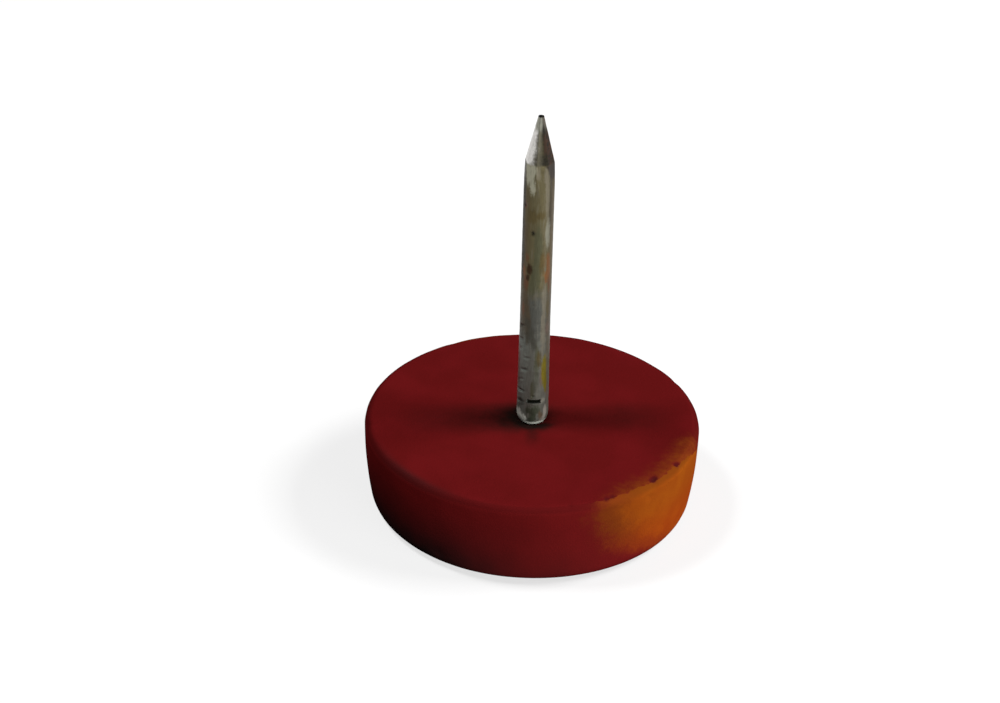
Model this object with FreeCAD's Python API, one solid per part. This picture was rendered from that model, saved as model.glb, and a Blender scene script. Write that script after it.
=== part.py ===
import FreeCAD, Part
import math
import os

# A nail-on furniture glide: a small round plastic disc moulded round the head of a steel nail.
# Sizes are in millimetres. The origin is the centre of the glide face, and the nail points up, along +Z.
# Azimuths are in degrees round +Z from +X, so the front of the part, -Y, is at -90.

# Disc
disc_diameter = 20.0
disc_height = 5.5
wall_curve_radius = 25.0  # the side wall's barrel curve, upright where it meets the top edge
top_edge_radius = 0.5
bottom_edge_radius = 0.8
glide_flat_diameter = 14.0  # the flat spot that slides on the floor
glide_rise = 0.12  # how far the glide face lifts from that spot to the bottom edge

# Moulding gate: a recess in the middle of the glide face, so that the broken-off stub clears the floor
gate_recess_diameter = 2.4
gate_recess_depth = 0.2
gate_stub_diameter = 0.9
gate_stub_height = 0.12

# Countersink round the nail's foot
sink_depth = 0.15
sink_width = 0.35

# Nail
nail_reach = 20.0  # from the disc's top face to the tip
shank_diameter = 1.8
grip_diameter = 1.9  # the foot, where the dies held the wire while its head was struck
grip_length = 6.8  # from the disc's top face up to where the shank is plain
neck_diameter = 1.4
neck_fillet = 0.25
head_diameter = 4.5
head_thickness = 0.7
head_edge_radius = 0.15
floor_under_head = 1.8

# Die marks on two opposite sides of the foot, rising a little to the right
mark_count = 8
mark_pitch = 0.74
mark_first_height = 1.3  # lowest mark above the disc's top face
mark_depth = 0.07
mark_opening = 0.26
mark_slant = 6.0
mark_azimuth = -142.0

# Short slot across the front of the foot
slot_height_on_foot = 1.6
slot_width = 0.84
slot_opening = 0.26
slot_depth = 0.25
slot_azimuth = -93.0

# Diamond point: four facets, each creased along its middle, and a flatter lead-in under each
point_length = 2.8
lead_in_length = 1.9
point_blunt_width = 0.36
point_azimuth = -102.0
point_crease_angle = 20.0
facet_count = 4

# Room that a cutting shape has beyond the metal it cuts
cutter_room = 0.5

disc_radius = disc_diameter / 2
shank_radius = shank_diameter / 2
grip_radius = grip_diameter / 2
neck_radius = neck_diameter / 2
head_radius = head_diameter / 2
head_top = floor_under_head + head_thickness
neck_top = disc_height - sink_depth
foot_centre = neck_top + math.sqrt(grip_radius**2 - neck_radius**2)
grip_top = disc_height + grip_length
tip = disc_height + nail_reach
UP = FreeCAD.Vector(0, 0, 1)
ORIGIN = FreeCAD.Vector(0, 0, 0)


def at(radius, height):
    """A point of a profile that is turned about the Z axis."""
    return FreeCAD.Vector(radius, 0, height)


def arc(centre, radius, start, end):
    """An arc of a profile, between two angles measured from outward (+X) towards up (+Z)."""
    points = []
    for angle in (start, (start + end) / 2, end):
        points.append(centre + at(radius * math.cos(angle), radius * math.sin(angle)))
    return Part.Arc(*points).toShape()


def turned(edges):
    """The solid that a closed profile makes when it is turned about the Z axis."""
    return Part.Face(Part.Wire(edges)).revolve(ORIGIN, UP, 360)


def line(start, end):
    return Part.LineSegment(start, end).toShape()


def disc_body():
    """The disc without its cavity: flat top, barrel wall, round lower edge and a slightly domed glide face."""
    wall_centre = at(disc_radius - wall_curve_radius, disc_height - top_edge_radius)
    edge_height = bottom_edge_radius + glide_rise
    drop = wall_centre.z - edge_height
    wall_to_edge = wall_curve_radius - bottom_edge_radius
    edge_centre = at(wall_centre.x + math.sqrt(wall_to_edge**2 - drop**2), edge_height)
    wall_end = -math.asin(drop / wall_to_edge)
    glide_flat_radius = glide_flat_diameter / 2
    run = edge_centre.x - glide_flat_radius
    dome_radius = (run**2 + edge_height**2 - bottom_edge_radius**2) / (2 * glide_rise)
    dome_centre = at(glide_flat_radius, dome_radius)
    dome_end = -math.acos(run / (dome_radius - bottom_edge_radius))
    top_edge_centre = at(disc_radius - top_edge_radius, disc_height - top_edge_radius)
    quarter = math.pi / 2
    gate_recess_radius = gate_recess_diameter / 2
    gate_stub_radius = gate_stub_diameter / 2
    gate_stub_end = gate_recess_depth - gate_stub_height
    edges = [
        line(at(0, gate_stub_end), at(gate_stub_radius, gate_stub_end)),
        line(at(gate_stub_radius, gate_stub_end), at(gate_stub_radius, gate_recess_depth)),
        line(at(gate_stub_radius, gate_recess_depth), at(gate_recess_radius, gate_recess_depth)),
        line(at(gate_recess_radius, gate_recess_depth), at(gate_recess_radius, 0)),
        line(at(gate_recess_radius, 0), at(glide_flat_radius, 0)),
        arc(dome_centre, dome_radius, -quarter, dome_end),
        arc(edge_centre, bottom_edge_radius, dome_end, wall_end),
        arc(wall_centre, wall_curve_radius, wall_end, 0),
        arc(top_edge_centre, top_edge_radius, 0, quarter),
        line(at(top_edge_centre.x, disc_height), at(0, disc_height)),
        line(at(0, disc_height), at(0, gate_stub_end)),
    ]
    return turned(edges)


def countersink():
    """The shallow cone in the top face that the nail's foot stands in, run on above the face."""
    slope = sink_width / sink_depth
    mouth_radius = neck_radius + slope * (sink_depth + cutter_room)
    return Part.makeCone(neck_radius, mouth_radius, sink_depth + cutter_room, at(0, neck_top), UP)


def nail_blank():
    """The nail before it is pointed: flat head, neck, ball-shaped foot, grip taper and plain wire."""
    quarter = math.pi / 2
    head_edge_x = head_radius - head_edge_radius
    fillet_x = neck_radius + neck_fillet
    foot_start = -math.acos(neck_radius / grip_radius)
    low_edge_centre = at(head_edge_x, floor_under_head + head_edge_radius)
    high_edge_centre = at(head_edge_x, head_top - head_edge_radius)
    edges = [
        line(at(0, floor_under_head), at(head_edge_x, floor_under_head)),
        arc(low_edge_centre, head_edge_radius, -quarter, 0),
        line(at(head_radius, low_edge_centre.z), at(head_radius, high_edge_centre.z)),
        arc(high_edge_centre, head_edge_radius, 0, quarter),
        line(at(head_edge_x, head_top), at(fillet_x, head_top)),
        arc(at(fillet_x, head_top + neck_fillet), neck_fillet, -quarter, -math.pi),
        line(at(neck_radius, head_top + neck_fillet), at(neck_radius, neck_top)),
        arc(at(0, foot_centre), grip_radius, foot_start, 0),
        line(at(grip_radius, foot_centre), at(shank_radius, grip_top)),
        line(at(shank_radius, grip_top), at(shank_radius, tip)),
        line(at(shank_radius, tip), at(0, tip)),
        line(at(0, tip), at(0, floor_under_head)),
    ]
    return turned(edges)


def point_outline(ridge_radius, height):
    """Corners of the point's section: a ridge between each pair of facets and a crease along each facet."""
    crease_share = (1 + math.tan(math.radians(point_crease_angle))) * math.cos(math.pi / facet_count)
    corners = []
    for facet in range(facet_count):
        crease_at = point_azimuth + facet * 360 / facet_count
        ridge_at = crease_at + 180 / facet_count
        for azimuth, radius in ((crease_at, ridge_radius * crease_share), (ridge_at, ridge_radius)):
            angle = math.radians(azimuth)
            corners.append(FreeCAD.Vector(radius * math.cos(angle), radius * math.sin(angle), height))
    return corners


def stacked(outlines):
    """A flat-faced solid through outlines with as many corners each, one above the other."""
    faces = [Part.Face(Part.makePolygon(end + end[:1])) for end in (outlines[0], outlines[-1])]
    for low, high in zip(outlines, outlines[1:]):
        for here in range(len(low)):
            after = (here + 1) % len(low)
            corners = [low[here], low[after], high[after], high[here], low[here]]
            faces.append(Part.Face(Part.makePolygon(corners)))
    return Part.Solid(Part.Shell(faces))


def point_waste():
    """What the pointing dies nip off: a sleeve round the wire's end, less the faceted point inside it."""
    facet_share = math.cos(math.pi / facet_count) + math.sin(math.pi / facet_count) * math.tan(
        math.radians(point_crease_angle)
    )
    facet_share *= math.cos(math.radians(point_crease_angle))
    lead_in_growth = shank_radius / facet_share - shank_radius
    foot_growth = lead_in_growth * (lead_in_length + cutter_room) / lead_in_length
    sleeve_length = point_length + lead_in_length + cutter_room
    point = stacked(
        [
            point_outline(shank_radius + foot_growth, tip - sleeve_length),
            point_outline(shank_radius, tip - point_length),
            point_outline(point_blunt_width / 2, tip),
        ]
    )
    sleeve = Part.makeCylinder(shank_radius + cutter_room, sleeve_length, at(0, tip - sleeve_length), UP)
    return sleeve.cut(point)


def foot_radius_at(height):
    """The shank's radius in the grip taper, at a height above the origin."""
    share = (height - foot_centre) / (grip_top - foot_centre)
    return grip_radius + share * (shank_radius - grip_radius)


def placed_on_foot(cutter, height, azimuth, slant):
    """A cutter drawn on the +X side at height 0, leaned by slant, lifted and turned to its azimuth."""
    cutter.rotate(ORIGIN, FreeCAD.Vector(1, 0, 0), slant)
    cutter.translate(at(0, height))
    cutter.rotate(ORIGIN, UP, azimuth)
    return cutter


def die_marks():
    """Slanted V-grooves that the gripping dies bite into two opposite sides of the foot."""
    marks = []
    for index in range(mark_count):
        height = disc_height + mark_first_height + index * mark_pitch
        surface = foot_radius_at(height)
        mouth = surface + cutter_room
        half_mouth = mark_opening / 2 * (mark_depth + cutter_room) / mark_depth
        bottom = surface - mark_depth
        half_length = FreeCAD.Vector(0, grip_diameter / 2, 0)
        corners = [at(bottom, 0), at(mouth, half_mouth), at(mouth, -half_mouth), at(bottom, 0)]
        for side in (0, 180):
            groove = Part.Face(Part.makePolygon(corners)).extrude(half_length * 2)
            groove.translate(half_length * -1)
            marks.append(placed_on_foot(groove, height, mark_azimuth + side, mark_slant))
    return marks


def front_slot():
    """The short slot nipped across the front of the foot."""
    height = disc_height + slot_height_on_foot
    inner = foot_radius_at(height) - slot_depth
    corner = FreeCAD.Vector(inner, -slot_width / 2, -slot_opening / 2)
    slot = Part.makeBox(slot_depth + cutter_room, slot_width, slot_opening, corner)
    return placed_on_foot(slot, height, slot_azimuth, 0)


def make_nail():
    """The finished steel nail, as one solid."""
    nail = nail_blank().cut(point_waste())
    for cutter in die_marks() + [front_slot()]:
        nail = nail.cut(cutter)
    return nail


def make_glide_disc():
    """The plastic disc, moulded round the nail's head and neck with no gap."""
    return disc_body().cut(countersink()).cut(nail_blank())


def main():
    os.makedirs("parts", exist_ok=True)
    pieces = {"glide_disc": make_glide_disc(), "nail": make_nail()}
    for name, shape in pieces.items():
        shape.exportStep("parts/" + name + ".step")


main()
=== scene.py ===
import bpy
import math
import numpy as np
from mathutils import Matrix, Vector


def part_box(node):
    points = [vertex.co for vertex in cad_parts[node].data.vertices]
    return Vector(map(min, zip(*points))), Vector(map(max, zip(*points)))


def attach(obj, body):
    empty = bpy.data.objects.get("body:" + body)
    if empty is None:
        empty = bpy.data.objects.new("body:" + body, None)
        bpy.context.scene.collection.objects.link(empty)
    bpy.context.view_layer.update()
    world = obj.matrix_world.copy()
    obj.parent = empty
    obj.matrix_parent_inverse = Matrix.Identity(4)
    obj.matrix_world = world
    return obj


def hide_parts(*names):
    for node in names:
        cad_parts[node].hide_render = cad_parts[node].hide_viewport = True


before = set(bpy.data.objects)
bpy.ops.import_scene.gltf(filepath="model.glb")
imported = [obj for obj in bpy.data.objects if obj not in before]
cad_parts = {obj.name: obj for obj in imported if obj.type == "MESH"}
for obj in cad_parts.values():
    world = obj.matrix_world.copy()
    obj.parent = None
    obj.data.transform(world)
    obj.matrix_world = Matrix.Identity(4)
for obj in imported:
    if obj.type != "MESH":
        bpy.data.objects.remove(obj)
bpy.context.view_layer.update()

# Camera
# It looks down on the part from in front, at the photograph's angle and distance, and leans a little to the
# left as the photograph does.
mm = 0.001
camera_distance = 190 * mm
camera_elevation = math.radians(30.99)
camera_lean = math.radians(1.4)
camera_aside = -1.8 * mm
camera_raised = 8.58 * mm
film_width = 36  # film and lens are in millimetres, as the camera's settings are
lens_length = 112.95

towards_camera = Vector((0, -math.cos(camera_elevation), math.sin(camera_elevation)))
level = Vector((1, 0, 0))
upright = towards_camera.cross(level)
camera_right = math.cos(camera_lean) * level + math.sin(camera_lean) * upright
camera_up = towards_camera.cross(camera_right)
camera_place = camera_distance * towards_camera + camera_aside * camera_right + camera_raised * camera_up

camera_data = bpy.data.cameras.new("camera")
camera_data.sensor_width = film_width
camera_data.lens = lens_length
camera_data.clip_start = camera_distance / 100
camera_data.clip_end = camera_distance * 100
camera = bpy.data.objects.new("camera", camera_data)
bpy.context.scene.collection.objects.link(camera)
camera.matrix_world = Matrix.Translation(camera_place) @ Matrix(
    (camera_right, camera_up, towards_camera)
).transposed().to_4x4()
bpy.context.scene.camera = camera


# Disc
# A moulded plastic disc, red over amber, with a barrel-shaped wall, a sharp top edge and a slightly domed
# glide face. It is moulded round the nail's head, and the gate was broken off in a recess underneath.
# The amber on the right of the wall is partly red rubbed through and partly a painted warm reflection, and
# a thin amber line along the back of the top edge is partly wear and partly a painted glow.
disc_low, disc_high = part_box("glide_disc")
nail_low, nail_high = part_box("nail")
disc_radius = (disc_high.x - disc_low.x) / 2
disc_height = disc_high.z
wall_curve_radius = 25 * mm
top_edge_radius = 0.5 * mm
bottom_edge_radius = 0.8 * mm
glide_flat_radius = 7 * mm
glide_rise = 0.12 * mm
gate_recess_radius = 1.2 * mm
gate_recess_depth = 0.2 * mm
gate_stub_radius = 0.45 * mm
gate_stub_end = 0.08 * mm
sink_depth = 0.15 * mm
sink_width = 0.35 * mm
head_radius = 2.25 * mm
head_edge_radius = 0.15 * mm
head_thickness = 0.7 * mm
head_bottom = nail_low.z
head_top = head_bottom + head_thickness
neck_radius = 0.7 * mm
neck_fillet = 0.25 * mm
neck_top = disc_height - sink_depth
disc_columns = 480


def arc(centre, radius, start, end, steps):
    """Points (r, z) of an arc without its last one: centre + radius * (cosine, sine) of even angles."""
    angles = np.linspace(start, end, steps, endpoint=False)
    return np.array(centre) + radius * np.stack([np.cos(angles), np.sin(angles)], -1)


def straight(start, end, steps):
    """Points (r, z) of a straight run without its last one: start plus an even share of the way to end."""
    share = np.linspace(0, 1, steps, endpoint=False)[:, None]
    return np.array(start) + share * (np.array(end) - np.array(start))


wall_centre = (disc_radius - wall_curve_radius, disc_height - top_edge_radius)
edge_height = bottom_edge_radius + glide_rise
edge_drop = wall_centre[1] - edge_height
wall_to_edge = wall_curve_radius - bottom_edge_radius
edge_centre = (wall_centre[0] + math.sqrt(wall_to_edge**2 - edge_drop**2), edge_height)
wall_end = -math.asin(edge_drop / wall_to_edge)
dome_run = edge_centre[0] - glide_flat_radius
dome_radius = (dome_run**2 + edge_height**2 - bottom_edge_radius**2) / (2 * glide_rise)
dome_end = -math.acos(dome_run / (dome_radius - bottom_edge_radius))
quarter = math.pi / 2
top_flat_radius = disc_radius - top_edge_radius
sink_radius = neck_radius + sink_width
fillet_radius = neck_radius + neck_fillet
head_flat_radius = head_radius - head_edge_radius
outside = [
    straight((0, gate_stub_end), (gate_stub_radius, gate_stub_end), 4),
    straight((gate_stub_radius, gate_stub_end), (gate_stub_radius, gate_recess_depth), 3),
    straight((gate_stub_radius, gate_recess_depth), (gate_recess_radius, gate_recess_depth), 5),
    straight((gate_recess_radius, gate_recess_depth), (gate_recess_radius, 0), 3),
    straight((gate_recess_radius, 0), (glide_flat_radius, 0), 22),
    arc((glide_flat_radius, dome_radius), dome_radius, -quarter, dome_end, 12),
    arc(edge_centre, bottom_edge_radius, dome_end, wall_end, 14),
    arc(wall_centre, wall_curve_radius, wall_end, 0, 38),
    arc((top_flat_radius, wall_centre[1]), top_edge_radius, 0, quarter, 12),
    straight((top_flat_radius, disc_height), (sink_radius, disc_height), 44),
]
cavity = [
    straight((sink_radius, disc_height), (neck_radius, neck_top), 4),
    straight((neck_radius, neck_top), (neck_radius, head_top + neck_fillet), 6),
    arc((fillet_radius, head_top + neck_fillet), neck_fillet, math.pi, 3 * quarter, 4),
    straight((fillet_radius, head_top), (head_flat_radius, head_top), 4),
    arc((head_flat_radius, head_top - head_edge_radius), head_edge_radius, quarter, 0, 4),
    straight((head_radius, head_top - head_edge_radius), (head_radius, head_bottom + head_edge_radius), 2),
    arc((head_flat_radius, head_bottom + head_edge_radius), head_edge_radius, 0, -quarter, 4),
    straight((head_flat_radius, head_bottom), (0, head_bottom), 4),
    [(0, head_bottom)],
]
outside_rows = sum(len(part) for part in outside)
profile = np.concatenate(outside + cavity)

# Azimuths are from the front (-Y), positive towards the right (+X), and in degrees in all the lists below.
azimuth = np.linspace(-np.pi, np.pi, disc_columns, endpoint=False)[None, :]
radius, height = profile[:, :1], profile[:, 1:]
round_ = np.stack([radius * np.sin(azimuth), -radius * np.cos(azimuth), height + 0 * azimuth], -1)


def fading(value, start, end):
    """0 up to start and 1 from end on, evenly between them, or a fall from 1 to 0 if end is lower."""
    return np.clip((value - start) / (end - start), 0, 1)


def peak(value, middle, width):
    """A soft peak: exp(-((value - middle) / width)^2)."""
    return np.exp(-(((value - middle) / width) ** 2))


def unevenness(points, size, seed):
    """Smooth hills between about -1 and 1: the mean of twelve sine waves in seeded directions.

    Each wave is size metres long, and the mean is spread to about the height of one wave.
    """
    random = np.random.default_rng(seed)
    waves = random.normal(size=(12, 3))
    waves *= 2 * np.pi / size / np.linalg.norm(waves, axis=1, keepdims=True)
    phases = random.uniform(0, 2 * np.pi, 12)
    spread = 2.4
    return np.sin(points @ waves.T + phases).mean(-1) * spread


def dents(points, places):
    """How deep the surface is dented: each place adds depth * exp(-(distance / width)^2).

    A place is (azimuth, radius, height, width, depth), and the distance is straight from it to the point.
    """
    deep = 0
    for turned, radius, height, width, depth in places:
        turned = math.radians(turned)
        centre = [radius * math.sin(turned), -radius * math.cos(turned), height]
        deep = deep + depth * np.exp(-((points - centre) ** 2).sum(-1) / width**2)
    return deep


# Moulding leaves the skin a little uneven. It only sinks in, so the disc's box is the CAD model's, and the
# flat that slides and the hole for the nail stay true. Small knocks sit along the top edge, and the first
# five are the dark spots in the amber patch.
on_wall = fading(radius, 0.6 * disc_radius, 0.9 * disc_radius) * fading(height, 0.1 * mm, 0.6 * mm)
on_wall[outside_rows:] = 0
knocks = [
    (26.5, 9.62 * mm, 5.48 * mm, 0.15 * mm, 0.06 * mm),
    (29, 9.58 * mm, 5.49 * mm, 0.15 * mm, 0.06 * mm),
    (47, 9.62 * mm, 5.48 * mm, 0.2 * mm, 0.1 * mm),
    (48.5, 9.52 * mm, 5.5 * mm, 0.17 * mm, 0.08 * mm),
    (60.5, 9.74 * mm, 5.44 * mm, 0.18 * mm, 0.1 * mm),
    (13, 9.66 * mm, 5.47 * mm, 0.16 * mm, 0.04 * mm),
    (43.5, 10 * mm, 4.75 * mm, 0.2 * mm, 0.05 * mm),
    (-84, 9.9 * mm, 5.3 * mm, 0.3 * mm, 0.06 * mm),
    (-150, 9.85 * mm, 5.2 * mm, 0.35 * mm, 0.03 * mm),
    (118, 9.9 * mm, 5.3 * mm, 0.3 * mm, 0.03 * mm),
    (165, 9.85 * mm, 2.6 * mm, 0.4 * mm, 0.05 * mm),
    (-33, 9.7 * mm, 1.0 * mm, 0.45 * mm, 0.05 * mm),
]
broad_sink, fine_sink, top_sink = 0.02 * mm, 0.006 * mm, 0.02 * mm
dark_knock_depth = 0.09 * mm
sunk = broad_sink * (1 + unevenness(round_, 7 * mm, 11)) + fine_sink * (1 + unevenness(round_, 1.6 * mm, 12))
sunk = (sunk + dents(round_, knocks)) * on_wall
in_knocks = np.clip(dents(round_, knocks[:5]) / dark_knock_depth, 0, 1)
inward = -np.gradient(profile, axis=0)[:, ::-1] * [1, -1]
inward /= np.maximum(np.linalg.norm(inward, axis=1, keepdims=True), 1e-9)
shape = radius + sunk * inward[:, :1]
round_ = np.stack([shape * np.sin(azimuth), -shape * np.cos(azimuth), height + sunk * inward[:, 1:]], -1)
share_out = radius / disc_radius
top_dish = top_sink * fading(share_out, 0.15, 0.65) ** 2 * fading(share_out, 0.92, 0.72) * (height > neck_top)
round_[:outside_rows, :, 2] -= top_dish[:outside_rows]


def closed_skin(name, points):
    """A mesh over a grid of points, whose first and last rows are each one point on the axis.

    Each row runs once round, and its last point is joined to its first. Rows are joined by quads, and the
    end rows by triangles.
    """
    rows, columns = points.shape[:2]
    corners = np.concatenate([points[:1, 0], points[1:-1].reshape(-1, 3), points[-1:, 0]])
    here = np.arange(columns)
    after = np.roll(here, -1)
    ring = 1 + columns * np.arange(rows - 3)[:, None]
    quads = np.stack([ring + here, ring + after, ring + columns + after, ring + columns + here], -1)
    last = 1 + columns * (rows - 3)
    start_fan = np.stack([np.zeros_like(here), after + 1, here + 1], -1)
    end_fan = np.stack([here + last, after + last, np.full_like(here, len(corners) - 1)], -1)
    faces = start_fan.tolist() + quads.reshape(-1, 4).tolist() + end_fan.tolist()
    mesh = bpy.data.meshes.new(name)
    mesh.from_pydata(corners.tolist(), [], faces)
    mesh.shade_smooth()
    return mesh


def put_attribute(mesh, name, grid):
    """A number at each point of a closed skin, from a grid of them."""
    values = np.concatenate([grid[:1, 0], grid[1:-1].ravel(), grid[-1:, 0]]).astype(np.float32)
    mesh.attributes.new(name, "FLOAT", "POINT").data.foreach_set("value", values)


disc_mesh = closed_skin("glide_disc_moulded", round_)
disc_mesh.set_sharp_from_angle(angle=math.radians(40))

# Where the amber patch on the right lies, partly red rubbed through and partly a painted warm reflection:
# 1 in the patch and 0 outside it. The patch is sharpest along the top edge, which it leaves towards the back,
# and softest low on its left.
degrees = np.degrees(azimuth)
patch_heights = np.array([0.35, 0.6, 1.1, 1.6, 2.2, 3.3, 4.7, 5.2]) * mm
patch_left = np.interp(height, patch_heights, [56, 54, 47, 40, 35.5, 31, 26.5, 29.5])
half_blur = np.interp(height, patch_heights, [46, 46, 54, 52, 48, 40, 38, 40]) / 2
right_heights = np.array([0.4, 1.5, 2.5, 3.5, 4.6]) * mm
patch_right = np.interp(height, right_heights, [126, 121, 111, 105, 92]) + 5 * unevenness(round_, 3 * mm, 14)
patch = fading(degrees, patch_left - half_blur, patch_left + half_blur)
patch = patch * fading(degrees, patch_right, patch_right - 16)
patch = patch * fading(height, 0.1 * mm, 0.4 * mm) * (radius > glide_flat_radius)
patch[outside_rows:] = 0

# How far a point lies over the rim, along the surface from where the top edge starts to round, in
# millimetres. The patch starts a little below that, unevenly, and lower towards its right.
lengths = np.linalg.norm(np.diff(profile, axis=0, append=profile[-1:]), axis=1)[:, None]
to_end = np.cumsum(lengths[::-1], axis=0)[::-1]
over_rim = (to_end - to_end[outside_rows - len(outside[-1])]) / mm
patch_turns = [15, 22, 28, 40, 45, 50, 55, 60, 65, 70, 75, 80, 92]
patch_tops = [0.17, 0.15, 0.12, 0.06, 0.2, 0.26, 0.14, 0.25, 0.4, 0.58, 0.8, 1.1, 1.5]
below_top = over_rim - np.interp(degrees, patch_turns, patch_tops)

# A brown band on the top face and edge above the patch is a painted reflection, and a thin amber line follows
# the rim at the back left, partly wear and partly a painted glow of light through the thin edge.
rim_places = np.array([7.6, 8.6, 9.2, 9.5]) * mm
rim_brown_reflection = np.interp(radius, rim_places, [0.08, 0.25, 0.36, 0.4]) * (height > disc_height - 1.4 * mm)
rim_brown_reflection = rim_brown_reflection * fading(degrees, 13, 33) * fading(degrees, 92, 76)
back_turns = [-180, -174, -166, -155, -146, -138, -126, -116, -106, -96, -90]
back_rim_wear_and_glow = np.interp(degrees, back_turns, [0, 0.6, 1.1, 1.1, 0.7, 0.3, 0.2, 0.5, 0.8, 0.6, 0])
back_rim_wear_and_glow = back_rim_wear_and_glow * (0.85 + 0.3 * unevenness(round_, 1.1 * mm, 15))
back_start = np.interp(degrees, [-150, -120, -100], [0.05, 0.28, 0.42])
back_end = back_start + 0.32 + 0.12 * unevenness(round_, 0.8 * mm, 16)
back_rim_wear_and_glow = back_rim_wear_and_glow * fading(over_rim, back_start, back_start + 0.06)
back_rim_wear_and_glow = back_rim_wear_and_glow * fading(over_rim, back_end, back_end - 0.15)
rim_reflection_wear_and_glow = np.maximum(rim_brown_reflection, back_rim_wear_and_glow) * (1 - 0.8 * in_knocks)
rim_reflection_wear_and_glow[outside_rows:] = 0
put_attribute(disc_mesh, "worn_and_painted_light", patch * (1 - in_knocks))
put_attribute(disc_mesh, "below_top", below_top)
put_attribute(disc_mesh, "rim_reflection_wear_and_glow", rim_reflection_wear_and_glow)

# Painted shade darkens the wall towards its bottom from the front round to the left, the top edge there and
# the knocks, and grime lies in the gate recess.
low_heights = np.array([0.7, 1.2, 1.8, 2.4, 3, 4.5]) * mm
low_painted_shade = np.interp(height, low_heights, [0.9, 0.78, 0.6, 0.4, 0.26, 0])
low_shade_turns = [-130, -110, -32, -15, 0, 12, 16, 28, 42]
low_painted_shade = low_painted_shade * np.interp(degrees, low_shade_turns, [0, 1, 1, 0.6, 0.28, 0.28, 0.2, 0.12, 0])
low_painted_shade = low_painted_shade * fading(radius, glide_flat_radius + 0.6 * mm, glide_flat_radius + 2.2 * mm)
edge_painted_shade = peak(degrees, -47, 17) * peak(radius, 9.68 * mm, 0.28 * mm) * (height > 5.1 * mm)
in_recess = (radius < gate_recess_radius + 0.01 * mm) * (height < 0.3 * mm) * (height > 0.01 * mm)
shaded_and_grimy = np.maximum(np.maximum(low_painted_shade, 0.5 * in_recess), 0.4 * np.maximum(edge_painted_shade, in_knocks))
put_attribute(disc_mesh, "shaded_and_grimy", shaded_and_grimy)

# Painted shadow: the nail's cast shadow darkens the top face in a band to both sides of its foot and a
# little to the front, and painted shade rings the foot.
across, along = round_[..., 0], round_[..., 1]
away = np.abs(across)
left_painted_shadow = 0.7 - 0.062 * away / mm + 0.25 * peak(away, 1 * mm, 1.1 * mm)
right_painted_shadow = 0.3 + 0.22 * peak(away, 1 * mm, 0.6 * mm) + 0.1 * peak(away, 5.5 * mm, 0.9 * mm)
to_right = fading(across, -0.8 * mm, 0.8 * mm)
off_middle = np.abs(along + 0.1 * mm - 0.06 * across)
painted_nail_shadow = (left_painted_shadow * (1 - to_right) + right_painted_shadow * to_right) * np.exp(-((off_middle / (1.75 * mm)) ** 3))
painted_nail_shadow = painted_nail_shadow * fading(radius, 9.4 * mm, 7.2 * mm)
on_right = fading(across, 0, 0.6 * mm) * fading(along, -0.9 * mm, -0.3 * mm)
foot_painted_shade_ring = 0.95 * peak(radius, 1.05 * mm, 0.72 * mm) * (1 - 0.8 * on_right)
front_places = np.array([0.8, 1.1, 1.6, 2.1, 2.6, 2.9, 3.3, 3.8]) * mm
front_painted_shadow = np.interp(-along, front_places, [0, 0.9, 0.64, 0.5, 0.4, 0.32, 0.18, 0])
front_painted_shadow = front_painted_shadow * peak(across, 0, 0.6 * mm)
painted_nail_shadow = np.maximum(painted_nail_shadow, np.maximum(foot_painted_shade_ring, front_painted_shadow)) * (height > disc_height - 0.2 * mm)
put_attribute(disc_mesh, "painted_nail_shadow", painted_nail_shadow)


class Shade:
    """One output of a material's node. Arithmetic on it, with numbers or other outputs, adds Math nodes."""

    def __init__(self, tree, socket=None):
        self.tree = tree
        self.socket = socket

    def node(self, kind, settings=None, values=None, output=0):
        """Adds a node: its settings come first, then its sockets' values or links."""
        made = self.tree.nodes.new("ShaderNode" + kind)
        for name, setting in (settings or {}).items():
            setattr(made, name, setting)
        for name, value in (values or {}).items():
            if isinstance(value, Shade):
                self.tree.links.new(value.socket, made.inputs[name])
            else:
                made.inputs[name].default_value = value
        return Shade(self.tree, made.outputs[output] if made.outputs else None)

    def math(self, operation, *values):
        """A Math node on this output and the values that follow it."""
        return self.node("Math", {"operation": operation}, dict(enumerate((self, *values))))

    def __add__(self, other):
        return self.math("ADD", other)

    def __sub__(self, other):
        return self.math("SUBTRACT", other)

    def __rsub__(self, other):
        return (self * -1) + other

    def __mul__(self, other):
        return self.math("MULTIPLY", other)

    __radd__ = __add__
    __rmul__ = __mul__

    def rise(self, start, end):
        """0 up to start and 1 from end on, with an S-shaped rise between them, or a fall if end is lower."""
        low, high, results = (start, end, (0, 1)) if start < end else (end, start, (1, 0))
        values = {"Value": self, "From Min": low, "From Max": high, "To Min": results[0], "To Max": results[1]}
        return self.node("MapRange", {"interpolation_type": "SMOOTHSTEP"}, values)

    def mix(self, without, with_):
        """The colour without at 0 and with_ at 1.

        A Mix node's colours are its sockets 6 and 7, and its output 2.
        """
        colours = [colour if isinstance(colour, Shade) else (*colour, 1) for colour in (without, with_)]
        return self.node("Mix", {"data_type": "RGBA"}, {0: self, 6: colours[0], 7: colours[1]}, 2)

    def noise(self, size, detail=2.0, roughness=0.5):
        """Cloudy noise about 0.5, whose clouds are about size metres across, at this vector."""
        values = {"Vector": self, "Scale": 1 / size, "Detail": detail, "Roughness": roughness}
        return self.node("TexNoise", {}, values)

    def scaled(self, *factors):
        """This vector, with each part times its own factor."""
        return self.node("VectorMath", {"operation": "MULTIPLY"}, {0: self, 1: factors})


def new_material(name):
    """An empty material: its place on the surface (Object coordinates) and a function that ends it."""
    material = bpy.data.materials.new(name)
    material.use_nodes = True
    tree = material.node_tree
    tree.nodes.clear()
    place = Shade(tree).node("TexCoord", output="Object")

    def end(values):
        surface = place.node("BsdfPrincipled", {}, values)
        place.node("OutputMaterial", {}, {"Surface": surface})
        return material

    return place, end


def attribute(shade, name):
    """The number that a skin's attribute has at this place."""
    return shade.node("Attribute", {"attribute_name": name}, output="Fac")


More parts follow.
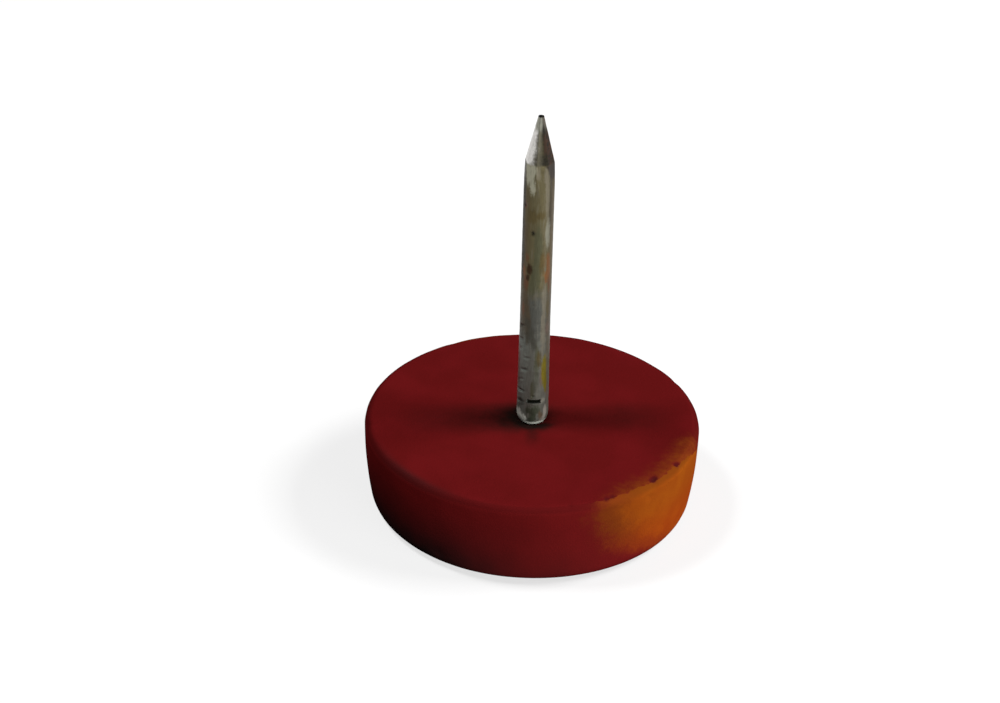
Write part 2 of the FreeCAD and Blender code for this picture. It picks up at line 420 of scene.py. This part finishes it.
place, end_material = new_material("disc_plastic_moulded")
deep_red, red = (0.125, 0.0072, 0.0076), (0.146, 0.0080, 0.0084)
# The top face's reds, and the rounded top edge's red below, are darker copies of the wall's red: painted
# shade.
top_painted_shade_red, top_painted_shade_pale_red = (0.094, 0.0050, 0.0054), (0.108, 0.0056, 0.0064)
rim_painted_shade_red = (0.084, 0.0050, 0.0054)
orange_red = (0.215, 0.028, 0.0060)
brown = (0.160, 0.030, 0.0050)
patch_rim_painted_shade = (0.128, 0.030, 0.0035)
low_amber, high_amber = (0.260, 0.038, 0.0045), (0.240, 0.049, 0.0045)
low_pale_amber, high_pale_amber = (0.292, 0.050, 0.0048), (0.268, 0.061, 0.0048)
painted_shadow_black = (0.006, 0.005, 0.004)
shade_and_grime = (0.012, 0.010, 0.010)
scratch_pink = (0.215, 0.065, 0.055)
dust = (0.050, 0.030, 0.024)

clouds = place.noise(3.2 * mm, 3)
blotches = place.noise(0.9 * mm, 4, 0.6)
chips = place.noise(0.3 * mm, 2)
grain = place.noise(0.12 * mm, 2)
up = place.node("SeparateXYZ", {}, {0: place}, 2)

# The patch, partly wear and partly a painted warm reflection, has a ragged upper border and is blotchy, with
# brown or orange red before the amber.
ragged_border = attribute(place, "below_top") + (blotches - 0.5) * 0.3 + (chips - 0.5) * 0.3
ragged_border = (ragged_border + (grain - 0.5) * 0.06).rise(-0.03, 0.05)
worn_and_painted_light = (attribute(place, "worn_and_painted_light") * ragged_border).math("MAXIMUM", attribute(place, "rim_reflection_wear_and_glow"))
wear_and_painted_light = (worn_and_painted_light + (blotches - 0.5) * 0.2 + (chips - 0.5) * 0.16 + (grain - 0.5) * 0.06).rise(0.12, 0.88)
skin = clouds.rise(0.35, 0.7).mix(deep_red, red)
# Painted shade: the rounded top edge and the top face take darker copies of the wall's red.
skin = up.rise(5.03 * mm, 5.3 * mm).mix(skin, rim_painted_shade_red)
skin = up.rise(5.42 * mm, 5.48 * mm).mix(skin, clouds.rise(0.35, 0.65).mix(top_painted_shade_red, top_painted_shade_pale_red))
higher = up.rise(1.4 * mm, 4.4 * mm)
amber = higher.mix(low_amber, high_amber)
pale_amber = higher.mix(low_pale_amber, high_pale_amber)
warm = place.noise(1.7 * mm, 3).rise(0.35, 0.7).mix(amber, pale_amber)
# Painted shade darkens the patch to dull brown over the rounded top edge.
warm = (up.rise(5.0 * mm, 5.35 * mm) * 0.75).mix(warm, patch_rim_painted_shade)
colour = wear_and_painted_light.rise(0.0, 0.5).mix(skin, up.rise(1.2 * mm, 4 * mm).mix(orange_red, brown))
colour = wear_and_painted_light.rise(0.45, 1.0).mix(colour, warm)
# Painted shadow of the nail and painted shade round its foot darken the top face.
painted_shadow_amount = (attribute(place, "painted_nail_shadow") * (0.75 + place.noise(0.5 * mm, 4) * 0.5)).rise(0.0, 1.05)
colour = painted_shadow_amount.mix(colour, painted_shadow_black)
# Painted shade on the lower wall, the left top edge and in the knocks, and grime in the gate recess.
colour = (attribute(place, "shaded_and_grimy") * (0.8 + blotches * 0.4)).mix(colour, shade_and_grime)

# Sliding leaves scratches in three directions on the glide face, and dust sticks to it.
scratched = 0
for angle, width in ((0.35, 0.1 * mm), (0.8, 0.07 * mm), (2.3, 0.12 * mm)):
    turned = place.node("VectorRotate", {"rotation_type": "Z_AXIS"}, {"Vector": place, "Angle": angle})
    scratched = turned.scaled(1, 0.025, 1).noise(width, 2).rise(0.61, 0.78) + scratched
scratched = scratched * clouds.rise(0.3, 0.6) * up.rise(0.14 * mm, 0.02 * mm)
colour = (scratched * 0.5).mix(colour, scratch_pink)
colour = (blotches.rise(0.45, 0.75) * up.rise(0.3 * mm, 0.05 * mm) * 0.45).mix(colour, dust)

roughness = 0.5 + (grain - 0.5) * 0.2 + wear_and_painted_light * 0.06 + scratched * 0.1
raised = grain + blotches * 0.7 - scratched
relief = place.node("Bump", {}, {"Strength": 0.6, "Distance": 0.02 * mm, "Height": raised})
disc_plastic = end_material(
    {"Base Color": colour, "Roughness": roughness, "Specular IOR Level": 0.0, "Normal": relief}
)


def add_piece(name, mesh, material, node):
    """A finished piece that rides on the part's one body and stands for its CAD node."""
    piece = bpy.data.objects.new(name, mesh)
    bpy.context.scene.collection.objects.link(piece)
    mesh.materials.append(material)
    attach(piece, "root")
    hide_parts(node)
    return piece


add_piece("glide_disc_moulded", disc_mesh, disc_plastic, "glide_disc")


# Nail
# A drawn steel nail whose flat head is inside the disc. Gripping dies left slanted bites on two sides of its
# foot and a nipped slot across the front, and pinching dies cut its four-sided diamond point. It is dulled
# and rust-stained, and the point's left facets are the brightest metal.
shank_radius = 0.9 * mm
grip_radius = 0.95 * mm
foot_centre = neck_top + math.sqrt(grip_radius**2 - neck_radius**2)
grip_top = disc_height + 6.8 * mm
tip = nail_high.z
point_length = 2.8 * mm
lead_in_length = 1.9 * mm
shoulder = tip - point_length
lead_in_start = shoulder - lead_in_length
blunt_radius = 0.18 * mm
facet_count = 4
facet_azimuth = -12
crease_angle = math.radians(20)
slot_azimuth = 3
slot_height = disc_height + 1.6 * mm
slot_half_opening = 0.13 * mm
slot_half_width = 0.42 * mm
slot_depth = 0.25 * mm
radius_at_slot = 0.94 * mm
nail_columns = 144


def below_facets(azimuth, height):
    """The point's radius: at each height the nearest of eight flat faces.

    A face is its distance from the axis / cos(angle from its middle) away. The faces stand in pairs,
    crease_angle to each side of a facet's middle. Their distance shrinks from the plain shank's radius at
    the lead-in's start to the ridges' own shrinking radius in the point.
    """
    share = math.cos(quarter / 2 - crease_angle)
    ridge_heights = [lead_in_start, shoulder, tip]
    ridge = np.interp(height, ridge_heights, [shank_radius / share, shank_radius, blunt_radius])
    ridge = ridge + np.clip((lead_in_start - height) / lead_in_length, 0, None) * shank_radius
    nearest = np.full(np.broadcast_shapes(azimuth.shape, height.shape), np.inf)
    for facet in range(facet_count):
        for lean in (-crease_angle, crease_angle):
            middle = math.radians(facet_azimuth) + facet * quarter + lean
            facing = np.cos(azimuth - middle)
            reach = ridge * share / np.maximum(facing, 1e-3)
            nearest = np.where(facing > 0.2, np.minimum(nearest, reach), nearest)
    return nearest


def bitten(azimuth, height, surface, bites):
    """How much slanted V-grooves cut from the surface.

    A bite (azimuth, height, length, opening, depth, slant) is a V across the surface: its depth falls off
    evenly from its middle line to half its opening, and fades out at its two ends.
    """
    cut = np.zeros(np.broadcast_shapes(azimuth.shape, height.shape))
    for turned, middle, length, opening, depth, slant in bites:
        aside = (np.mod(azimuth - math.radians(turned) + np.pi, 2 * np.pi) - np.pi) * surface
        off_line = np.abs((height - middle) - aside * math.tan(math.radians(slant)))
        ends = np.clip((length / 2 - np.abs(aside)) / (0.4 * length), 0, 1)
        cut = np.maximum(cut, depth * np.clip(1 - off_line / (opening / 2), 0, 1) * ends)
    return cut


slot_edges = [slot_height - slot_half_opening, slot_height + slot_half_opening]
sliver = 0.004 * mm
foot_start = -math.acos(neck_radius / grip_radius)
shank_heights = np.concatenate(
    [
        np.linspace(foot_centre, slot_edges[0] - sliver, 24, endpoint=False),
        np.linspace(slot_edges[0] - sliver, slot_edges[0] + sliver, 1, endpoint=False),
        np.linspace(slot_edges[0] + sliver, slot_edges[1] - sliver, 6),
        np.linspace(slot_edges[1] + sliver, grip_top, 110, endpoint=False),
        np.linspace(grip_top, lead_in_start, 190, endpoint=False),
        np.linspace(lead_in_start, shoulder, 48, endpoint=False),
        np.linspace(shoulder, tip, 80),
    ]
)
shank_radii = np.interp(shank_heights, [foot_centre, grip_top], [grip_radius, shank_radius])
nail_profile = np.concatenate(
    [
        straight((0, head_bottom), (head_flat_radius, head_bottom), 4),
        arc((head_flat_radius, head_bottom + head_edge_radius), head_edge_radius, -quarter, 0, 4),
        straight((head_radius, head_bottom + head_edge_radius), (head_radius, head_top - head_edge_radius), 2),
        arc((head_flat_radius, head_top - head_edge_radius), head_edge_radius, 0, quarter, 4),
        straight((head_flat_radius, head_top), (fillet_radius, head_top), 4),
        arc((fillet_radius, head_top + neck_fillet), neck_fillet, -quarter, -math.pi, 4),
        straight((neck_radius, head_top + neck_fillet), (neck_radius, neck_top), 6),
        arc((0, foot_centre), grip_radius, foot_start, 0, 26),
        np.stack([shank_radii, shank_heights], -1),
        [(0, tip)],
    ]
)
azimuth = math.radians(facet_azimuth) + np.linspace(-np.pi, np.pi, nail_columns, endpoint=False)[None, :]
radius, height = nail_profile[:, :1], nail_profile[:, 1:]
surface = np.minimum(radius, below_facets(azimuth, height))

# The dies bite both sides alike, and one small nick sits over the slot. The first pit is the deepest.
bites = [
    (-62, 6.9 * mm, 1.1 * mm, 0.34 * mm, 0.08 * mm, 12),
    (-60, 7.66 * mm, 0.95 * mm, 0.28 * mm, 0.07 * mm, 8),
    (-52, 8.46 * mm, 0.6 * mm, 0.24 * mm, 0.025 * mm, 24),
    (-40, 9.18 * mm, 0.65 * mm, 0.26 * mm, 0.05 * mm, 12),
    (-30, 10.02 * mm, 0.55 * mm, 0.22 * mm, 0.03 * mm, 8),
    (-68, 10.5 * mm, 0.6 * mm, 0.22 * mm, 0.045 * mm, 8),
    (-64, 11.14 * mm, 0.7 * mm, 0.24 * mm, 0.05 * mm, 9),
    (-62, 12.05 * mm, 0.8 * mm, 0.28 * mm, 0.07 * mm, 13),
]
bites += [(turned + 180, *rest) for turned, *rest in bites]
bites += [(0, 7.46 * mm, 0.24 * mm, 0.14 * mm, 0.05 * mm, 8)]
pits = [
    (-20, shank_radius, 18.38 * mm, 0.12 * mm, 0.09 * mm),
    (-22, shank_radius, 18.55 * mm, 0.08 * mm, 0.03 * mm),
    (-30, shank_radius, 16.04 * mm, 0.12 * mm, 0.03 * mm),
    (-54, shank_radius, 20.09 * mm, 0.12 * mm, 0.03 * mm),
    (-8, shank_radius, 13.6 * mm, 0.07 * mm, 0.02 * mm),
    (8, shank_radius, 22.3 * mm, 0.07 * mm, 0.03 * mm),
    (150, shank_radius, 19.2 * mm, 0.1 * mm, 0.04 * mm),
    (120, shank_radius, 14.4 * mm, 0.12 * mm, 0.03 * mm),
    (-140, shank_radius, 13.1 * mm, 0.1 * mm, 0.04 * mm),
]
outside_disc = (height > neck_top) * 1.0
skin_points = np.stack([surface * np.sin(azimuth), -surface * np.cos(azimuth), height + 0 * azimuth], -1)
drawn_points = skin_points * [1, 1, 0.12]  # drawing stretches the unevenness along the wire
drawn_sink, grain_sink = 0.005 * mm, 0.003 * mm
bite_depth = bitten(azimuth, height, shank_radius, bites)
cut = bite_depth + dents(skin_points, pits) + drawn_sink * (1 + unevenness(drawn_points, 0.9 * mm, 21))
cut = cut + grain_sink * (1 + unevenness(skin_points, 0.5 * mm, 22))
surface = surface - cut * outside_disc * fading(height, tip, tip - 0.4 * mm)

slot_turn = azimuth - math.radians(slot_azimuth)
in_slot = np.abs(slot_turn) < math.asin(slot_half_width / radius_at_slot)
in_slot = in_slot & (height > slot_edges[0]) & (height < slot_edges[1])
slot_floor = (radius_at_slot - slot_depth) / np.maximum(np.cos(slot_turn), 0.2)
surface = np.where(in_slot, np.minimum(surface, slot_floor), surface)
nail_points = np.stack([surface * np.sin(azimuth), -surface * np.cos(azimuth), height + 0 * azimuth], -1)
nail_mesh = closed_skin("nail_pointed", nail_points)
nail_mesh.set_sharp_from_angle(angle=math.radians(14))
# The slot is painted black as painted shade, and grime darkens the bites and the deepest pit.
black_depth = 0.09 * mm
blackened = np.clip((bite_depth * 0.6 + dents(skin_points, pits[:1])) / black_depth, 0, 0.85)
put_attribute(nail_mesh, "shade_and_grime", np.where(in_slot, 1.0, blackened * outside_disc))


def spot(place, turned, height, radius, wide, tall, ragged):
    """How near a place on the nail is: 1 at it and 0 from an ellipsoid outwards, less ragged noise.

    The ellipsoid is wide across and tall high, and the distance is counted in halves of those.
    """
    turned = math.radians(turned)
    sizes = (wide / 2, wide / 2, tall / 2)
    centre = (radius * math.sin(turned) / sizes[0], -radius * math.cos(turned) / sizes[1], height / sizes[2])
    stretched = place.scaled(1 / sizes[0], 1 / sizes[1], 1 / sizes[2])
    away = place.node("VectorMath", {"operation": "DISTANCE"}, {0: stretched, 1: centre}, "Value")
    return (away + ragged).rise(1.6, 0.25)


place, end_material = new_material("nail_steel_dulled")
side, front, up = [place.node("SeparateXYZ", {}, {0: place}, axis) for axis in range(3)]
streaks = place.scaled(1, 1, 0.14).noise(0.24 * mm, 4, 0.6)
fine_streaks = place.scaled(1, 1, 0.08).noise(0.05 * mm, 3, 0.6)
mottle = place.noise(0.3 * mm, 5, 0.65)
specks = place.noise(0.12 * mm, 3)
ragged = (mottle + streaks * 1.5 - 1.25) * 1.1 + (specks - 0.5) * 0.5
turn = side.math("ARCTAN2", front * -1) + (mottle - 0.5) * 0.25
mottled_up = up + (mottle - 0.5) * 2 * mm

# The wire is olive above, blue grey in its lower half and green grey at the foot, paler on the left of the
# foot as painted light, and browner at both sides as painted shade.
olive = (0.114, 0.097, 0.050)
blue_grey = (0.084, 0.086, 0.074)
green_grey, painted_light_green_grey = (0.130, 0.134, 0.114), (0.185, 0.205, 0.180)
light_grey = (0.20, 0.19, 0.155)
side_painted_shade_brown = (0.088, 0.056, 0.020)
lower = mottled_up.rise(15.2 * mm, 13.6 * mm)
foot = mottled_up.rise(12.2 * mm, 10.2 * mm)
colour = lower.mix(olive, blue_grey)
colour = foot.mix(colour, turn.rise(-0.2, -0.8).mix(green_grey, painted_light_green_grey))
colour = (streaks.rise(0.52, 0.7) * 0.35).mix(colour, light_grey)
left_side_shade = turn.rise(-0.3, -0.75) * up.rise(10.8 * mm, 12.4 * mm)
right_side_shade = turn.rise(0.7, 1.0) * up.rise(7.8 * mm, 9.4 * mm)
colour = (left_side_shade * 0.45 + right_side_shade * 0.5).mix(colour, side_painted_shade_brown)

# Stains, from the lowest layer to the highest. Each has a colour, a strength and its marks, and a mark is
# (azimuth, height, width, length), in degrees and millimetres.
stains = [
    # brown haze down both sides, partly tarnish and partly painted shade
    ((0.085, 0.060, 0.034), 0.75, [
        (-58, 17.2, 0.5, 4.6), (-50, 13.9, 0.55, 3.4), (-28, 12.6, 0.3, 2.6), (56, 20, 0.3, 4.6),
    ]),
    # darker at the sides: painted shade
    ((0.050, 0.040, 0.024), 0.8, [
        (-63, 20.9, 0.3, 2.6), (52, 21.9, 0.34, 1.8), (-62, 17.0, 0.3, 1.2), (50, 19.8, 0.22, 3.2),
    ]),
    # olive grey down the front
    ((0.078, 0.080, 0.044), 0.8, [
        (6, 17.6, 0.5, 2.8), (-10, 14.9, 0.75, 1.3), (9, 9.8, 0.3, 2.2), (-2, 16, 0.5, 1.8),
        (-4, 7.9, 0.26, 1.2),
    ]),
    # green grey above the slot
    ((0.086, 0.092, 0.068), 0.8, [(9, 8.6, 0.34, 2.0)]),
    # tan patches on the right
    ((0.165, 0.105, 0.045), 0.7, [(27, 16.5, 0.4, 1.1), (30, 15.7, 0.3, 0.6)]),
    # reddish far left of the foot
    ((0.130, 0.040, 0.034), 0.7, [(-76, 10.0, 0.4, 1.8), (-76, 8.8, 0.4, 1.8)]),
    # brown blotches
    ((0.090, 0.066, 0.024), 0.75, [
        (-26, 19.5, 0.75, 0.9), (20, 16.4, 0.35, 1.5), (48, 13.4, 0.35, 1.5), (14, 19.6, 0.45, 0.6),
        (20, 10.0, 0.3, 1.0),
    ]),
    # light metal under the point's left
    ((0.37, 0.36, 0.27), 0.85, [(-40, 22.45, 0.95, 0.8), (-38, 21.9, 0.55, 1.1), (-25, 21.3, 0.36, 0.9)]),
    # a light streak on the right
    ((0.25, 0.245, 0.19), 0.85, [(38, 18.3, 0.36, 1.7)]),
    # paler streaks
    ((0.190, 0.170, 0.125), 0.7, [
        (33, 20.8, 0.26, 2.8), (34, 13.8, 0.36, 2.8), (33, 11.6, 0.34, 2.6), (-4, 22.2, 0.3, 0.8),
        (26, 22.1, 0.26, 1.2),
    ]),
    # pinkish brown on the right of the foot
    ((0.150, 0.095, 0.075), 0.6, [(52, 12.0, 0.35, 1.0), (30, 8.7, 0.26, 1.2), (60, 7.7, 0.3, 1.2)]),
    # orange rust
    ((0.185, 0.070, 0.022), 0.85, [
        (44, 16.5, 0.32, 1.0), (50, 15.9, 0.3, 1.2), (38, 15.5, 0.25, 0.8), (-56, 15.8, 0.36, 0.8),
    ]),
    # brown rust
    ((0.125, 0.052, 0.024), 0.8, [
        (-44, 15.1, 0.4, 1.0), (-58, 20.1, 0.3, 0.5), (-54, 13.2, 0.3, 1.1), (-40, 16.7, 0.26, 0.7),
        (56, 14.9, 0.3, 1.2),
    ]),
    # nearly black rust
    ((0.030, 0.012, 0.004), 0.9, [(-30, 16.0, 0.34, 0.8), (-60, 20.12, 0.2, 0.3), (-36, 15.4, 0.24, 0.4)]),
    # yellow on the right of the foot
    ((0.190, 0.150, 0.004), 0.95, [(42, 9.5, 0.36, 1.3), (43, 8.7, 0.36, 1.4), (47, 8.1, 0.26, 0.9)]),
    # grey between the bites
    ((0.060, 0.059, 0.046), 0.75, [
        (-18, 11.6, 0.55, 1.0), (-52, 6.9, 0.5, 0.5), (-4, 11.0, 0.4, 0.9), (-34, 12.4, 0.4, 0.7),
    ]),
    # pale scrapes low on the right
    ((0.42, 0.40, 0.35), 0.9, [(54, 6.3, 0.36, 0.7), (40, 5.8, 0.4, 0.4)]),
    # dark under the slot
    ((0.046, 0.056, 0.034), 0.9, [(0, 6.45, 0.85, 0.7), (-4, 5.95, 0.55, 0.7), (-6, 5.5, 0.3, 0.4)]),
    # a brown spot beside it
    ((0.110, 0.066, 0.034), 0.7, [(30, 6.1, 0.3, 0.6)]),
    # a pale spot above that
    ((0.30, 0.30, 0.25), 0.8, [(40, 7.1, 0.3, 0.4)]),
    # brown haze at the back
    ((0.085, 0.055, 0.026), 0.85, [
        (150, 18.5, 0.6, 4.0), (-150, 12.4, 0.5, 3.0), (110, 13.6, 0.5, 2.4), (-110, 19.5, 0.4, 3.0),
    ]),
    # orange rust at the back
    ((0.185, 0.070, 0.022), 0.85, [
        (130, 16.2, 0.5, 1.6), (-140, 17.9, 0.4, 1.2), (170, 9.6, 0.4, 1.4), (-100, 11.2, 0.3, 1.0),
    ]),
    # paler streaks at the back
    ((0.200, 0.195, 0.150), 0.75, [
        (175, 14.6, 0.5, 3.0), (-120, 15.0, 0.4, 2.6), (120, 20.6, 0.5, 1.6), (100, 9.5, 0.4, 2.2),
    ]),
    # dark patches at the back
    ((0.060, 0.062, 0.050), 0.8, [
        (-165, 7.2, 0.7, 1.4), (125, 7.0, 0.6, 1.2), (-125, 9.4, 0.5, 1.6), (160, 21.6, 0.4, 1.4),
    ]),
]
for stain, strength, marks in stains:
    covered = 0
    for turned, high, wide, tall in marks:
        covered = spot(place, turned, high * mm, shank_radius, wide * mm, tall * mm, ragged) + covered
    colour = (covered.rise(0.0, 1.0) * strength).mix(colour, stain)

# Painted highlight: the foot is painted pale where it swells into the disc on the left and along its lowest
# edge all round.
highlight_pale_grey = (0.50, 0.52, 0.46)
ragged_up = up + (mottle - 0.5) * 0.2 * mm
foot_painted_highlight = spot(place, -64, 5.95 * mm, shank_radius, 0.95 * mm, 0.85 * mm, ragged)
foot_painted_highlight = (spot(place, -46, 5.72 * mm, shank_radius, 0.85 * mm, 0.6 * mm, ragged) + foot_painted_highlight).rise(0.0, 1.0)
foot_painted_highlight = (foot_painted_highlight + ragged_up.rise(5.74 * mm, 5.56 * mm)).rise(0.0, 1.0)
colour = foot_painted_highlight.mix(colour, highlight_pale_grey)

# The point is bare metal to the left of its front crease. To its right the facets are painted dark, a painted
# dark reflection with rust: the front right facet is dull, palest beside the crease and rusty higher up, and
# the facet on the far right is nearly black.
bare_steel = (0.66, 0.64, 0.61)
dark_facet, lit_facet = (0.010, 0.008, 0.003), (0.060, 0.050, 0.022)
crease_grey = (0.165, 0.150, 0.105)
facet_edge_dark_reflection = (0.006, 0.005, 0.003)
facet_rust = (0.050, 0.024, 0.013)
right_facet_dark_reflection, right_rust = (0.005, 0.003, 0.002), (0.044, 0.016, 0.010)
tip_grey = (0.27, 0.27, 0.22)
lead_in_dark_reflection = (0.030, 0.022, 0.018)
streak_black, end_black = (0.008, 0.008, 0.005), (0.006, 0.005, 0.005)

pointed = ragged_up.rise(shoulder - 0.05 * mm, shoulder + 0.08 * mm)
bare = turn + (specks - 0.5) * 0.5 + (streaks - 0.5) * 0.5 + up.rise(shoulder + 1.1 * mm, shoulder) * 0.13
bare = bare.rise(math.radians(-10), math.radians(-42))
dull_facet = mottle.rise(0.38, 0.68).mix(dark_facet, lit_facet)
beside_crease = turn.rise(0.4, -0.2) * (0.55 + up.rise(shoulder + 0.5 * mm, shoulder + 1.1 * mm) * 0.3)
dull_facet = (beside_crease + (specks - 0.5) * 0.3).mix(dull_facet, crease_grey)
towards_right = turn.rise(0.25, 0.45)
dull_facet = (towards_right * 0.6).mix(dull_facet, facet_edge_dark_reflection)
rusty = (up + (mottle - 0.5) * 0.5 * mm).rise(shoulder + 0.5 * mm, shoulder + 0.9 * mm) * towards_right
dull_facet = (rusty * 0.8).mix(dull_facet, facet_rust)
far_right = turn.rise(math.radians(32), math.radians(40))
facet = far_right.mix(dull_facet, mottle.rise(0.42, 0.62).mix(right_facet_dark_reflection, right_rust))
facet = bare.mix(facet, bare_steel)
near_tip = (up + (mottle - 0.5) * 0.6 * mm).rise(tip - 1.0 * mm, tip - 0.5 * mm)
facet = (near_tip * (0.3 + turn.rise(0.5, 0.1) * 0.7)).mix(facet, tip_grey)
colour = pointed.mix(colour, facet)
# Below the point on the right the lead-in is painted nearly black, a painted dark reflection.
low_right = (turn + (up - (shoulder - 0.8 * mm)) * (0.5 / mm)).rise(0.7, 0.95)
low_right = low_right * up.rise(shoulder - 1.2 * mm, shoulder - 0.8 * mm)
colour = (low_right * (1 - pointed)).mix(colour, lead_in_dark_reflection)
streak = spot(place, 28, 24.75 * mm, 0.36 * mm, 0.2 * mm, 0.9 * mm, ragged * 0.4)
colour = (streak * 0.9).mix(colour, streak_black)
colour = up.rise(tip - 0.03 * mm, tip - 0.01 * mm).mix(colour, end_black)

# Fine drawing lines run along the wire, painted shade darkens its right all the way up and its left edge high
# up, the slot is painted black as shade, and grime fills the bites.
line_brown, right_painted_shade = (0.03, 0.026, 0.02), (0.04, 0.034, 0.024)
left_edge_painted_shade, slot_shade_and_bite_grime = (0.030, 0.025, 0.016), (0.010, 0.010, 0.006)
colour = (fine_streaks.rise(0.42, 0.8) * 0.3).mix(colour, line_brown)
colour = (turn.rise(0.0, 1.1) * 0.3).mix(colour, right_painted_shade)
left_edge = turn.rise(-0.95, -1.15) * up.rise(14.5 * mm, 15.5 * mm) * (1 - pointed)
colour = (left_edge * 0.7).mix(colour, left_edge_painted_shade)
colour = attribute(place, "shade_and_grime").mix(colour, slot_shade_and_bite_grime)

clean = pointed * bare
dirty = pointed * (1 - bare)
metal = 0.6 - mottle.rise(0.5, 0.8) * 0.2 + clean * 0.25 - dirty * 0.52 - left_edge * 0.5 - foot_painted_highlight * 0.5
roughness = 0.46 + (mottle - 0.5) * 0.3 - clean * 0.14 + dirty * 0.1
raised = fine_streaks + mottle * 1.5
relief = place.node("Bump", {}, {"Strength": 0.8, "Distance": 0.012 * mm, "Height": raised})
nail_steel = end_material(
    {
        "Base Color": colour,
        "Metallic": metal,
        "Roughness": roughness,
        "Specular IOR Level": 0.1,
        "Normal": relief,
    }
)
add_piece("nail_pointed", nail_mesh, nail_steel, "nail")


# Floor and light
# A plain pale floor and four softboxes. The two high ones draw the nail's shadow as a band across the disc,
# a low one at the front right lights the wall, and a faint one at the front left shines only in the metal.
floor_half_width = 3
floor_height = -0.01 * mm
floor_grey = (0.30, 0.30, 0.30, 1)
white = (1, 1, 1, 1)
floor_glow = 0.68
room_glow = 0.02

corner_signs = ((-1, -1), (1, -1), (1, 1), (-1, 1))
corners = [(x * floor_half_width, y * floor_half_width, floor_height) for x, y in corner_signs]
floor_mesh = bpy.data.meshes.new("floor")
floor_mesh.from_pydata(corners, [], [(0, 1, 2, 3)])
floor = bpy.data.objects.new("floor", floor_mesh)
bpy.context.scene.collection.objects.link(floor)
floor.visible_diffuse = False
material = bpy.data.materials.new("floor_white")
material.use_nodes = True
material.node_tree.nodes.clear()
paper = Shade(material.node_tree)
matt = paper.node("BsdfDiffuse", {}, {"Color": floor_grey})
glow = paper.node("Emission", {}, {"Color": white, "Strength": floor_glow})
sheet = paper.node("AddShader", {}, {0: matt, 1: glow})
paper.node("OutputMaterial", {}, {"Surface": sheet})
floor_mesh.materials.append(material)


def softbox(name, azimuth, elevation, distance, width, tall, power):
    """A white area light aimed at the disc's top, from an azimuth and an elevation in degrees."""
    data = bpy.data.lights.new(name, "AREA")
    data.shape = "RECTANGLE"
    data.size = width
    data.size_y = tall
    data.energy = power
    lamp = bpy.data.objects.new(name, data)
    bpy.context.scene.collection.objects.link(lamp)
    turned, lift = math.radians(azimuth), math.radians(elevation)
    out = Vector((math.sin(turned) * math.cos(lift), -math.cos(turned) * math.cos(lift), math.sin(lift)))
    lamp.rotation_mode = "QUATERNION"
    lamp.rotation_quaternion = out.to_track_quat("Z", "Y")
    lamp.location = Vector((0, 0, disc_height)) + out * distance
    return lamp


softbox("left", azimuth=-94, elevation=61, distance=0.5, width=0.14, tall=0.12, power=1.53)
softbox("front_right", azimuth=40, elevation=7, distance=0.4, width=0.3, tall=0.08, power=1.58)
softbox("right", azimuth=94, elevation=44, distance=0.4, width=0.2, tall=0.12, power=1.53)
faint = softbox("front_left", azimuth=-56, elevation=4, distance=0.4, width=0.06, tall=0.16, power=0.08)
faint.visible_diffuse = False

world = bpy.data.worlds.new("studio")
world.use_nodes = True
background = world.node_tree.nodes["Background"]
background.inputs["Color"].default_value = white
background.inputs["Strength"].default_value = room_glow
bpy.context.scene.world = world
bpy.context.scene.view_settings.view_transform = "Standard"
